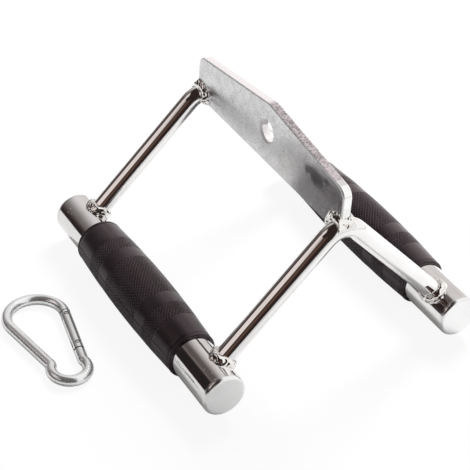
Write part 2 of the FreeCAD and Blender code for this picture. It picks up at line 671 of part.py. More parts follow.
def angle_of(arrow):
    """The direction of an arrow in the XY plane, in radians."""
    size = Vector(1, 0, 0).getAngle(arrow)
    return size if arrow.y >= 0 else -size


def hook_box(name, x_low, x_high, y_low, y_high, half_thickness):
    """A box in the hook's own frame between two planes each way, as thick each side of Z zero."""
    box = primitive("Box", name, Length=f"{x_high} - {x_low}", Width=f"{y_high} - {y_low}",
                    Height=f"2 * {half_thickness}")
    return hook_local(box, x_low, y_low, f"-{half_thickness}")


def hook_local(thing, x, y, z, turn=0, axis=Vector(0, 0, 1)):
    """Puts a primitive at x, y, z of the hook's frame. Its own turn comes first."""
    cos_turn = "cos(sizes.hook_turn * 1 deg)"
    sin_turn = "sin(sizes.hook_turn * 1 deg)"
    spin = FreeCAD.Rotation(Vector(0, 0, 1), value_of("sizes.hook_turn"))
    thing.Placement = FreeCAD.Placement(Vector(0, 0, 0), spin * FreeCAD.Rotation(axis, turn))
    bind(thing, **{
        "Placement.Base.x": f"{HOOK_X} + ({x}) * {cos_turn} - ({y}) * {sin_turn}",
        "Placement.Base.y": f"sizes.hook_rearward + ({x}) * {sin_turn} + ({y}) * {cos_turn}",
        "Placement.Base.z": f"{HOOK_Z} + ({z})",
    })
    return thing


def hook_pin(name, x, y, radius, half_length):
    """A round pin across the hook, square to its plane."""
    pin = primitive("Cylinder", name, Radius=radius, Height=f"2 * {half_length}")
    return hook_local(pin, x, y, f"-{half_length}")


def hook_bar(name, x_low, x_high, y, radius):
    """A round bar along the gate."""
    bar = primitive("Cylinder", name, Radius=radius, Height=f"{x_high} - {x_low}")
    return hook_local(bar, x_low, y, 0, turn=90, axis=Vector(0, 1, 0))


def make_hook_body():
    """The bent wire with a flat tongue at each end: one for the rivet, one with the latch notch."""
    gate_y = "sizes.hook_bow_radius"
    low = f"({gate_y} - {TONGUE_HALF_HEIGHT})"
    high = f"({gate_y} + {TONGUE_HALF_HEIGHT})"
    thick = "sizes.tongue_half_thickness"
    wire = make_hook_wire()
    hinge = hook_box("hinge_tongue", "(-sizes.tongue_root)", f"({PIVOT_X} + sizes.hinge_tongue_reach)",
                     low, high, thick)
    latch = hook_box("latch_tongue", LIP_END_X, f"({NOSE_X} + sizes.tongue_root)", low, high, thick)
    whole = fuse("hook_with_tongues", [wire, hinge, latch])
    eye = hook_pin("hinge_tongue_hole", PIVOT_X, gate_y, "sizes.rivet_radius + sizes.rivet_fit",
                   f"({thick} + sizes.overrun)")
    seat_y = f"({gate_y} + sizes.pin_radius + sizes.latch_seat_fit - {NOTCH_HALF})"
    seat = hook_pin("latch_seat", LATCH_X, seat_y, NOTCH_HALF, f"({thick} + sizes.overrun)")
    throat = hook_box("latch_throat", f"({LATCH_X} - {NOTCH_HALF})", f"({LATCH_X} + {NOTCH_HALF})",
                      f"({low} - sizes.overrun)", seat_y, f"({thick} + sizes.overrun)")
    finished = whole
    for index, tool in enumerate((eye, seat, throat)):
        finished = cut(f"hook_cut_{index}", finished, tool)
    return publish(finished, "snap_hook_body")


def make_gate():
    """A round bar, rounded about the rivet, with a slot at each end and a bore for the spring."""
    gate_y = "sizes.hook_bow_radius"
    wire = "sizes.hook_wire_radius"
    bar = hook_bar("gate_bar", f"({PIVOT_X} - {wire})", GATE_END_X, gate_y, wire)
    heel = hook_pin("gate_heel", PIVOT_X, gate_y, wire, f"({wire} + sizes.overrun)")
    shank = hook_box("gate_shank", PIVOT_X, f"({GATE_END_X} + sizes.overrun)",
                     f"({gate_y} - {wire} - sizes.overrun)", f"({gate_y} + {wire} + sizes.overrun)",
                     f"({wire} + sizes.overrun)")
    outline = fuse("gate_outline", [heel, shank])
    rounded = common("gate_rounded", bar, outline)
    low = f"({gate_y} - {wire} - sizes.overrun)"
    high = f"({gate_y} + {wire} + sizes.overrun)"
    tools = (
        hook_box("hinge_slot", f"({PIVOT_X} - {wire} - sizes.overrun)",
                 f"({PIVOT_X} + sizes.hinge_slot_reach)", low, high, SLOT_HALF),
        hook_box("latch_slot", f"({LIP_END_X} - sizes.latch_slot_fit)",
                 f"({GATE_END_X} + sizes.overrun)", low, high, SLOT_HALF),
        hook_bar("gate_bore", PIVOT_X, BORE_END_X, BORE_Y, "sizes.bore_radius"),
        hook_pin("gate_rivet_hole", PIVOT_X, gate_y, "sizes.rivet_radius", f"({wire} + sizes.overrun)"),
        hook_pin("gate_pin_hole", LATCH_X, gate_y, "sizes.pin_radius", f"({wire} + sizes.overrun)"),
    )
    finished = rounded
    for index, tool in enumerate(tools):
        finished = cut(f"gate_cut_{index}", finished, tool)
    return publish(finished, "snap_hook_gate")


def make_gate_fittings():
    gate_y = "sizes.hook_bow_radius"
    publish(hook_pin("gate_rivet", PIVOT_X, gate_y, "sizes.rivet_radius", RIVET_HALF_LENGTH),
            "snap_hook_rivet")
    publish(hook_pin("gate_latch_pin", LATCH_X, gate_y, "sizes.pin_radius", RIVET_HALF_LENGTH),
            "snap_hook_latch_pin")
    publish(hook_bar("gate_plunger", PLUNGER_X, f"({PLUNGER_X} + sizes.plunger_length)", BORE_Y,
                     "sizes.plunger_radius"), "snap_hook_plunger")


def make_spring():
    coil = primitive("Helix", "spring_coil", Radius="sizes.spring_radius", Height=SPRING_LENGTH,
                     Pitch=f"{SPRING_LENGTH} / sizes.spring_turns")
    wire = primitive("Circle", "spring_wire_section", Radius="sizes.spring_wire_radius")
    place(wire, x="sizes.spring_radius", turn=90, axis=Vector(1, 0, 0))
    spring = DOCUMENT.addObject("Part::Sweep", "spring_sweep")
    spring.Sections = [wire]
    spring.Spine = (coil, ["Edge1"])
    spring.Solid = True
    spring.Frenet = True
    hook_local(spring, SPRING_X, BORE_Y, 0, turn=90, axis=Vector(0, 1, 0))
    return publish(spring, "snap_hook_spring")


def check_and_write():
    DOCUMENT.recompute()
    for thing in DOCUMENT.Objects:
        if "Invalid" in thing.State or "Error" in thing.State:
            raise RuntimeError(f"{thing.Name} failed: {thing.State}")
    os.makedirs("parts", exist_ok=True)
    for part in PARTS:
        shape = part.Shape
        if shape.isNull() or not shape.isValid() or not shape.Solids:
            raise RuntimeError(f"{part.Label} has no valid shape")
        shape.exportStep(f"parts/{part.Label}.step")
        print(f"{part.Label}: {len(shape.Solids)} solid, {shape.Volume / 1000:.3f} cm3")


SIDES = (("left", -1), ("right", 1))
ENDS = (("front", -1), ("rear", 1))

RODS = {}
for end_name, end_side in ENDS:
    RODS[end_name] = make_rod(end_name, end_side)
PLATE = make_plate(list(RODS.values()))
for end_name, end_side in ENDS:
    make_plate_weld(end_name, end_side, PLATE, RODS[end_name])
for side_name, side_sign in SIDES:
    make_tube(side_name, side_sign)
    make_grip(side_name, side_sign)
    for end_name, end_side in ENDS:
        make_cap(side_name, side_sign, end_name, end_side)
        make_foot_weld(side_name, side_sign, end_name, end_side, RODS[end_name])
make_hook_body()
make_gate()
make_gate_fittings()
make_spring()
check_and_write()
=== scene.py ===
import math
from collections import namedtuple

import bpy
import numpy as np
from mathutils import Matrix, Vector, noise


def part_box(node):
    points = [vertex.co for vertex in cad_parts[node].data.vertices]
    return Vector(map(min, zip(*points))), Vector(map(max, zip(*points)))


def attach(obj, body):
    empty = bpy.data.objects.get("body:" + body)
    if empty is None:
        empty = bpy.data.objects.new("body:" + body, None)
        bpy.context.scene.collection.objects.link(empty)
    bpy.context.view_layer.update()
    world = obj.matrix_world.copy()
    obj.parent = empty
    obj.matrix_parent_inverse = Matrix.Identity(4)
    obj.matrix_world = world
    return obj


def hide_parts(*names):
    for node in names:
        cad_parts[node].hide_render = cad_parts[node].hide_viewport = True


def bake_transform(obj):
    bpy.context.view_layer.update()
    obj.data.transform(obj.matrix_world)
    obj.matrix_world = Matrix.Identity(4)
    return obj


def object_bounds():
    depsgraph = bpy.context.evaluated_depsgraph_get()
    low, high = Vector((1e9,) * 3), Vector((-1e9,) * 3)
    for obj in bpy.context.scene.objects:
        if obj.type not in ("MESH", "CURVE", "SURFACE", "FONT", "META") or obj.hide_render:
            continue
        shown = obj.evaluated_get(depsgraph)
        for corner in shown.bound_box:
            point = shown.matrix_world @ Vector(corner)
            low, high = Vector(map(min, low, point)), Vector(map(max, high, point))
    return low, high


# Looks of the close-grip handle and its snap hook, in metres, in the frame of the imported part:
# origin in the hook hole, X across the two handles, Y along them to the rear, Z up.

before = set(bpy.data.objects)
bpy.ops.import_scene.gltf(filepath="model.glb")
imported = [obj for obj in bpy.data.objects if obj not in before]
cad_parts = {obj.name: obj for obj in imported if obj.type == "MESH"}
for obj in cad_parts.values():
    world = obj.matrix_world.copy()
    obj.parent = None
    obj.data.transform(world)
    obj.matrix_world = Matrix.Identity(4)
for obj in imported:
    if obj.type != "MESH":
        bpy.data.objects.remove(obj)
CAD_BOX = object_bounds()

MM = 0.001
UP = Vector((0, 0, 1))
SIDES = ("left", "right")
ENDS = ("front", "rear")
ENDS_OF_SIDES = [f"{side}_{end}" for side in SIDES for end in ENDS]

# Camera: it stands where the perspective of the photograph puts it. Lens and sensor in millimetres.
CAMERA_PLACE = (-0.50444, -0.77844, 0.57701)
CAMERA_RIGHT = (0.86918785, -0.49162954, 0.05303657)
CAMERA_DOWN = (-0.25110121, -0.53123176, -0.80916067)
CAMERA_FORWARD = (0.425982, 0.68999508, -0.58518897)
LENS = 119.36
SENSOR = 36.0

# Lamps: name, place, width, power in watts
LAMPS = (
    ("lamp_right", (1.2, 0.9, 1.5), 0.9, 58),
    ("lamp_left", (-1.4, 0.4, 1.4), 1.0, 3),
)
LAMP_TARGET = Vector((0, 0, -0.05))

# World and floor: how strongly the world lights the part, the share of plain white that the camera
# sees on the floor, the share of shine that metal sees there, how far the floor reaches to each
# side, and the grain of its clouds
WORLD_LIGHT = 0.3
FLOOR_WHITE_SHARE = 0.9
FLOOR_SHINE_SHARE = 0.34
FLOOR_REACH = 6.0
FLOOR_CLOUD = 0.4

# Dome round the floor
DOME_RADIUS = 4.0
DOME_ROWS = 16
DOME_COLUMNS = 48

# Cards on the dome, which only reflections see. All angles in degrees, the colour as on a screen.
Card = namedtuple("Card", "azimuth elevation half_width half_height softness shown")
CARDS = (
    Card(42, 28, 9, 1.2, 2, (196, 191, 189)),
    Card(-46.5, 14, 5, 19, 5, (38, 33, 34)),
    Card(-36, 37, 2, 2.5, 2, (112, 104, 102)),
    Card(-134, 26, 9, 10, 10, (92, 70, 60)),
    Card(-62, 48, 13, 10, 6, (222, 212, 208)),
    Card(-80, 33, 24.5, 7, 6, (226, 214, 210)),
)

# Rubber grip
BORE_RADIUS = 16.06 * MM
END_RADIUS = 18.05 * MM
RIM_ROUND = 1.2 * MM
RIM_STEPS = 6
LIP_LENGTH = 1.7 * MM
LIP_RISE = 0.3 * MM
BAND_DROP = 0.1 * MM
BAND_STEPS = 8

# Knurl of a grip: three patches of diamonds along it
GROOVE_DEPTH = 0.34 * MM
DIAMONDS_ROUND = 50
DIAMOND_ROW = 1.72 * MM
DIAMOND_TOP_SHARE = 0.56
PATCH_ROWS = (8, 26, 8)
PATCH_CENTRES = (-41.0 * MM, 0.9 * MM, 43.4 * MM)

# Mould lines of a grip: angles in degrees from the top towards +X. The gated one has a nub at
# LINE_NUB_PLACE, where the rubber was let in.
LINE_ANGLES = {"gated": -80, "plain": 100}
LINE_HALF = 0.35 * MM
LINE_HEIGHT = 0.22 * MM
LINE_STEPS = 160
LINE_NUB_PLACE = 2.8 * MM
LINE_NUB_REACH = 1.1 * MM
LINE_NUB_WIDTH_SHARE = 1.8
LINE_NUB_HEIGHT_SHARE = 1.6

# Rubber: the side that faces the light, painted a paler grey as sheen, and the tint of its sheen
PAINTED_SHEEN_SIDE = (0.64, 0.0, 0.77)
SHEEN_TINT = (1.0, 0.84, 0.88, 1.0)

# Weld beads: spread of their points, grains of lumps, knots and ripples in millimetres, and how far
# each seed shifts the pattern
BEAD_GRID = 0.45 * MM
BEAD_GRAINS = (4.2, 2.1, 2.8)
SEED_STEPS = (7.3, 3.1, 5.7)

# Height of the lumps, with the weights of lumps, knots and ripples, and the first seed
FOOT_LUMP = 1.0 * MM
FOOT_WEIGHTS = (0.9, 0.25, 0.3)
FOOT_SEED = 1
PLATE_LUMP = 0.8 * MM
PLATE_WEIGHTS = (0.8, 0.45, 0.35)
PLATE_SEED = 14

# Plate beads: how far they reach to each side before they run out into the rod, and the share of
# what lies past that which is drawn back
PLATE_WING = 6.5 * MM
WING_TRIM_SHARE = 0.6

# Hanger plate: where along Y, or up Z, each mark begins and where it is full
SAW_START = (4 * MM, -4 * MM)
SAW_END = (-88.5 * MM, -87.5 * MM)
SAW_BOTTOM = (8.5 * MM, 9 * MM)
PALER_CHIPS = (-60 * MM, -88 * MM)
POLISHED_END = (-87 * MM, -89 * MM)
GLOSSY_FACE = (-20 * MM, -60 * MM)
HAZE_START = (-48 * MM, -62 * MM)
HAZE_TOP = (1 * MM, -11 * MM)

# Painted dark reflection on the plate's faces near its near end, an oval. It fades between the two
# levels of its border, which are distances from its middle in shares of its half sizes. The cloud
# noise makes that border ragged.
DARK_REFLECTION_MIDDLE = (0.0, -64.0 * MM, 1.2 * MM)
DARK_REFLECTION_HALF_LENGTH = 19.0 * MM
DARK_REFLECTION_HALF_HEIGHT = 6.5 * MM
DARK_REFLECTION_BORDER = (1.95, 1.2)
DARK_REFLECTION_RAGGEDNESS = 1.6

# Snap hook: painted shade in the seams at both ends of the gate and round its pins. Where the gate
# ends, counted from its hinge, with how dark the painted shade in each seam is, the radius of the
# painted dark ring round each pin, and where the masks of seam, ring and gate begin and are full
GATE_ENDS = ((-4.05 * MM, 0.5), (38.95 * MM, 1.0))
PIN_RING = 1.4 * MM
SEAM_EDGE = (0.75 * MM, 0.35 * MM)
RING_EDGE = (0.5 * MM, 0.2 * MM)
GATE_SIDE = (7 * MM, 6 * MM)


def tone(red, green, blue):
    """A colour as the screen shows it, from 0 to 255, as the shader needs it."""
    shares = [value / 255 for value in (red, green, blue)]
    linear = [s / 12.92 if s <= 0.04045 else ((s + 0.055) / 1.055) ** 2.4 for s in shares]
    return (*linear, 1.0)


WHITE = tone(255, 255, 255)


class Shade:
    """Short calls that add nodes to one tree and link them."""

    def __init__(self, tree):
        self.tree = tree
        tree.nodes.clear()

    def put(self, kind, inputs=None, **settings):
        """Adds a node. Each input is a constant or the output of another node."""
        node = self.tree.nodes.new("ShaderNode" + kind)
        for name, value in settings.items():
            setattr(node, name, value)
        for name, value in (inputs or {}).items():
            if isinstance(value, bpy.types.NodeSocket):
                self.tree.links.new(value, node.inputs[name])
            else:
                node.inputs[name].default_value = value
        return node

    def finish(self, shader, kind="OutputMaterial"):
        self.tree.links.new(shader, self.put(kind).inputs[0])

    def cover(self, inputs):
        """Ends the tree in a plain surface with these inputs."""
        self.finish(self.put("BsdfPrincipled", inputs).outputs[0])

    def math(self, operation, *values):
        return self.put("Math", dict(enumerate(values)), operation=operation).outputs[0]

    def plus(self, first, second):
        return self.math("ADD", first, second)

    def minus(self, first, second):
        return self.math("SUBTRACT", first, second)

    def times(self, first, second):
        return self.math("MULTIPLY", first, second)

    def larger(self, first, second):
        return self.math("MAXIMUM", first, second)

    def magnitude(self, value):
        return self.math("ABSOLUTE", value)

    def line(self, value, slope, start):
        """start plus slope times the value."""
        return self.math("MULTIPLY_ADD", value, slope, start)

    def vector(self, operation, *values):
        return self.put("VectorMath", dict(enumerate(values)), operation=operation).outputs[0]

    def dot(self, first, second):
        inputs = {0: first, 1: second}
        return self.put("VectorMath", inputs, operation="DOT_PRODUCT").outputs["Value"]

    def length(self, value):
        return self.put("VectorMath", {0: value}, operation="LENGTH").outputs["Value"]

    def split(self, value):
        """The X, Y and Z of a vector."""
        return self.put("SeparateXYZ", {0: value}).outputs

    def mix(self, share, under, over):
        """One colour laid over another: none of it at share 0, all of it at 1."""
        return self.put("Mix", {0: share, 6: under, 7: over}, data_type="RGBA").outputs[2]

    def smooth(self, value, start, end, out_start=0.0, out_end=1.0):
        """A smooth step from one level to another as the value goes from start to end."""
        inputs = {0: value, 1: start, 2: end, 3: out_start, 4: out_end}
        return self.put("MapRange", inputs, interpolation_type="SMOOTHSTEP").outputs[0]

    def place(self, scale=(1, 1, 1), turn=(0, 0, 0)):
        """Where a point lies in the part's frame, stretched and turned."""
        spot = self.put("TexCoord").outputs["Object"]
        return self.put("Mapping", {0: spot, 2: turn, 3: scale}).outputs[0]

    def facing(self):
        """The direction in which a face looks."""
        return self.put("NewGeometry").outputs["True Normal"]

    def noise(self, grain, detail, roughness=0.5, where=None):
        """Soft noise from 0 to 1 whose grains have that size in metres."""
        inputs = {"Scale": 1 / grain, "Detail": detail, "Roughness": roughness}
        inputs["Vector"] = where or self.place()
        return self.put("TexNoise", inputs).outputs[0]

    def specks(self, spacing, size):
        """1 inside small round specks, 0 between them. size is a share of their spacing."""
        inputs = {"Scale": 1 / spacing, "Vector": self.place()}
        distance = self.put("TexVoronoi", inputs).outputs["Distance"]
        return self.smooth(distance, size, size / 2)

    def bump(self, height, depth, below=None):
        """The surface's normal with a relief of that depth, over the relief below it."""
        inputs = {"Strength": 1.0, "Distance": depth, "Height": height}
        if below:
            inputs["Normal"] = below
        return self.put("Bump", inputs).outputs[0]


def new_material(name):
    material = bpy.data.materials.new(name)
    material.use_nodes = True
    return material, Shade(material.node_tree)


def make_metal(
    name, bright, dull, roughness, ripple, wave=6 * MM,
    pits=0.0, metallic=1.0, motes=0.0, joints=False,
):
    """Plated metal: its colour drifts to a duller one, and scratches and smudges change its gloss.

    ripple and wave are the depth and the length of its waves. pits is how dark its pits are, motes
    how much metal its dust motes hide, and joints adds painted shade in the seams round the snap
    hook's gate and pins.
    """
    material, shade = new_material(name)
    drift = shade.noise(grain=18 * MM, detail=4.0)
    along = shade.place(scale=(1, 0.06, 1))
    streaks = shade.noise(grain=0.9 * MM, detail=6.0, roughness=0.7, where=along)
    smudge = shade.smooth(shade.noise(grain=9 * MM, detail=5.0), 0.42, 0.7)
    base = shade.mix(shade.smooth(drift, 0.35, 0.7), bright, dull)
    if pits:
        pitted = shade.times(shade.specks(spacing=1.3 * MM, size=0.16), pits)
        base = shade.mix(pitted, base, tone(70, 62, 58))
    if joints:
        # Painted shade in the seams round the gate and its pins.
        base = shade.mix(make_seam_shade_mask(shade), base, tone(38, 34, 32))
    if motes:
        metallic = shade.line(shade.specks(spacing=5.5 * MM, size=0.09), -motes, metallic)
    low, high = roughness
    dullness = shade.times(shade.plus(shade.times(streaks, 0.5), smudge), 0.5)
    rough = shade.line(dullness, high - low, low)
    waves = shade.bump(shade.noise(grain=wave, detail=2.0), ripple)
    normal = shade.bump(streaks, 0.004 * MM, waves)
    shade.cover({"Base Color": base, "Metallic": metallic, "Roughness": rough, "Normal": normal})
    return material


def middle_of(node):
    low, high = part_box(node)
    return (Vector(low) + Vector(high)) / 2


def gate_line():
    """The middle of the gate's hinge, and the direction in which the gate runs."""
    hinge = middle_of("snap_hook_rivet")
    return hinge, (middle_of("snap_hook_latch_pin") - hinge).normalized()


def make_seam_shade_mask(shade):
    """1 where shade is painted: the thin seams at both ends of the snap hook's gate and round its
    two pins.
    """
    hinge, along = gate_line()
    spot = shade.vector("SUBTRACT", shade.place(), hinge)
    far = shade.dot(spot, along)
    share = 0.0
    for end, depth in GATE_ENDS:
        gap = shade.magnitude(shade.minus(far, end))
        share = shade.larger(share, shade.smooth(gap, *SEAM_EDGE, 0.0, depth))
    for pin in (hinge, middle_of("snap_hook_latch_pin")):
        flat = shade.vector("MULTIPLY", shade.vector("SUBTRACT", shade.place(), pin), (1, 1, 0))
        gap = shade.magnitude(shade.minus(shade.length(flat), PIN_RING))
        share = shade.larger(share, shade.smooth(gap, *RING_EDGE))
    aside = shade.magnitude(shade.dot(spot, along.cross(UP)))
    return shade.times(share, shade.smooth(aside, *GATE_SIDE))


class PlateMarks:
    """Patterns of the hanger plate, where its wear lies and a painted dark reflection, all from 0
    to 1.
    """

    def __init__(self, shade):
        sideways, _, upward = shade.split(shade.facing())
        sideways = shade.magnitude(sideways)
        y, z = shade.split(shade.place())[1:]
        slanted = shade.place(scale=(1, 1, 0.05), turn=(0.75, 0, 0))
        self.cloud = shade.noise(grain=7 * MM, detail=5.0, roughness=0.6)
        self.grain = shade.noise(grain=1.3 * MM, detail=4.0, roughness=0.65)
        self.scratches = shade.noise(grain=0.5 * MM, detail=5.0, roughness=0.7, where=slanted)
        self.chips = self.make_chips(shade, y)
        self.saw = self.make_saw(shade, upward, y, z)
        # Dark reflection painted on the plate's faces near the near end.
        self.dark_reflection = self.make_dark_reflection(shade)
        self.narrow = shade.smooth(sideways, 0.8, 0.4)
        rounded = shade.smooth(sideways, 0.06, 0.2)
        self.worn = shade.times(rounded, shade.smooth(sideways, 0.995, 0.97))
        self.end = shade.times(self.narrow, shade.smooth(y, *POLISHED_END))
        self.haze = shade.times(shade.smooth(y, *HAZE_START), shade.smooth(z, *HAZE_TOP, 0.0, 0.5))
        self.gloss = shade.smooth(y, *GLOSSY_FACE, 0.0, 0.05)

    def make_chips(self, shade, y):
        """The pale chips between the saw's dark furrows, more of them towards the near corner."""
        across = shade.place(scale=(0.5, 1, 1))
        furrows = shade.noise(grain=1.0 * MM, detail=4.0, roughness=0.8, where=across)
        paler = shade.smooth(y, *PALER_CHIPS, 0.0, 0.07)
        return shade.smooth(shade.plus(furrows, paler), 0.39, 0.54)

    def make_saw(self, shade, upward, y, z):
        """1 on the plate's near slope, which was sawn and left rough, and 0 on all the rest."""
        share = shade.smooth(upward, 0.5, 0.8)
        for value, edge in ((y, SAW_START), (y, SAW_END), (z, SAW_BOTTOM)):
            share = shade.times(share, shade.smooth(value, *edge))
        return share

    def make_dark_reflection(self, shade):
        """1 in the painted dark reflection near the plate's near end, ragged at its border."""
        spot = shade.vector("SUBTRACT", shade.place(), DARK_REFLECTION_MIDDLE)
        spot = shade.vector("MULTIPLY", spot, (0, 1 / DARK_REFLECTION_HALF_LENGTH, 1 / DARK_REFLECTION_HALF_HEIGHT))
        ragged = shade.line(self.cloud, DARK_REFLECTION_RAGGEDNESS, shade.length(spot))
        return shade.smooth(ragged, *DARK_REFLECTION_BORDER)


def plate_colour(shade, marks):
    face = shade.mix(shade.smooth(marks.cloud, 0.3, 0.75), tone(237, 237, 238), tone(211, 212, 213))
    face = shade.mix(shade.smooth(marks.grain, 0.5, 0.72), face, tone(190, 192, 194))
    face = shade.mix(shade.smooth(marks.scratches, 0.56, 0.72), face, tone(248, 248, 249))
    # Painted dark reflection near the near end.
    face = shade.mix(shade.times(marks.dark_reflection, 0.85), face, tone(128, 130, 132))
    face = shade.mix(marks.narrow, face, tone(255, 250, 251))
    sawn = shade.mix(marks.chips, tone(122, 112, 114), tone(240, 231, 234))
    return shade.mix(marks.end, shade.mix(marks.saw, face, sawn), WHITE)


def plate_metallic(shade, marks):
    """Less than 1 where the surface is pale and matt: narrow faces, worn edges, flecks and haze."""
    pale = shade.larger(marks.worn, shade.minus(marks.narrow, marks.saw))
    pale = shade.minus(pale, marks.end)
    grains = shade.smooth(marks.grain, 0.54, 0.66)
    flecks = shade.larger(grains, shade.smooth(marks.scratches, 0.58, 0.64))
    pale = shade.larger(pale, shade.times(flecks, 0.7))
    pale = shade.math("MINIMUM", shade.plus(pale, marks.haze), 1.0)
    return shade.line(pale, -0.45, 1.0)


def plate_roughness(shade, marks):
    face = shade.minus(shade.line(marks.cloud, 0.16, 0.12), marks.gloss)
    rougher = shade.larger(shade.times(marks.saw, 0.16), shade.times(marks.worn, 0.3))
    return shade.minus(shade.plus(face, rougher), shade.times(marks.end, 0.12))


def plate_normal(shade, marks):
    relief = shade.plus(shade.times(marks.chips, marks.saw), shade.times(marks.grain, 0.2))
    return shade.bump(relief, 0.07 * MM, shade.bump(marks.scratches, 0.012 * MM))


def make_plate_metal():
    """Satin plate: speckled faces with fine slanted scratches, and a saw-cut near slope."""
    material, shade = new_material("hanger_plate_satin")
    marks = PlateMarks(shade)
    shade.cover({
        "Base Color": plate_colour(shade, marks),
        "Metallic": plate_metallic(shade, marks),
        "Roughness": plate_roughness(shade, marks),
        "Normal": plate_normal(shade, marks),
    })
    return material


def make_weld_metal():
    """Plated weld bead: smooth bright crowns, a few dark pores and cream stains."""
    material, shade = new_material("weld_plated")
    dark_reflection = shade.smooth(shade.noise(grain=3.5 * MM, detail=2.0), 0.52, 0.72)
    pores = shade.specks(spacing=5.5 * MM, size=0.13)
    base = shade.mix(dark_reflection, tone(246, 245, 243), tone(228, 218, 206))
    base = shade.mix(pores, base, tone(72, 62, 56))
    rough = shade.line(shade.noise(grain=2.5 * MM, detail=2.0), 0.1, 0.03)
    crust = shade.minus(shade.noise(grain=2.6 * MM, detail=1.0), shade.times(pores, 0.8))
    normal = shade.bump(crust, 0.1 * MM)
    shade.cover({"Base Color": base, "Metallic": 1.0, "Roughness": rough, "Normal": normal})
    return material


def make_rubber():
    """Brownish black rubber: faint dust, painted sheen on the side facing the light, pitted skin.
    """
    material, shade = new_material("grip_rubber_skin")
    dust = shade.smooth(shade.noise(grain=14 * MM, detail=4.0), 0.45, 0.75)
    skin = shade.noise(grain=0.35 * MM, detail=3.0)
    painted_sheen = shade.smooth(shade.dot(shade.facing(), PAINTED_SHEEN_SIDE), 0.6, 1.0)
    base = shade.mix(dust, tone(33, 25, 28), tone(42, 34, 37))
    base = shade.mix(shade.smooth(skin, 0.6, 0.75), base, tone(52, 43, 47))
    # Painted sheen: the side that faces the light is painted a paler grey.
    base = shade.mix(painted_sheen, base, tone(72, 62, 65))
    shade.cover({
        "Base Color": base,
        "Roughness": shade.line(shade.noise(grain=5 * MM, detail=3.0), 0.12, 0.26),
        "Normal": shade.bump(skin, 0.02 * MM),
        "Specular Tint": SHEEN_TINT,
        "Specular IOR Level": 0.5,
    })
    return material


def add_mesh(name, points, faces, material, smooth):
    """A piece from its points and faces. smooth is a flag for all faces, or one for each."""
    mesh = bpy.data.meshes.new(name)
    mesh.from_pydata([tuple(p) for p in points], [], faces)
    mesh.materials.append(material)
    flags = [smooth] * len(faces) if isinstance(smooth, bool) else smooth
    mesh.polygons.foreach_set("use_smooth", flags)
    mesh.update()
    return add_piece(name, mesh)


def add_piece(name, mesh):
    piece = bpy.data.objects.new(name, mesh)
    bpy.context.scene.collection.objects.link(piece)
    return piece


def give_material(mesh, material):
    mesh.materials.clear()
    mesh.materials.append(material)


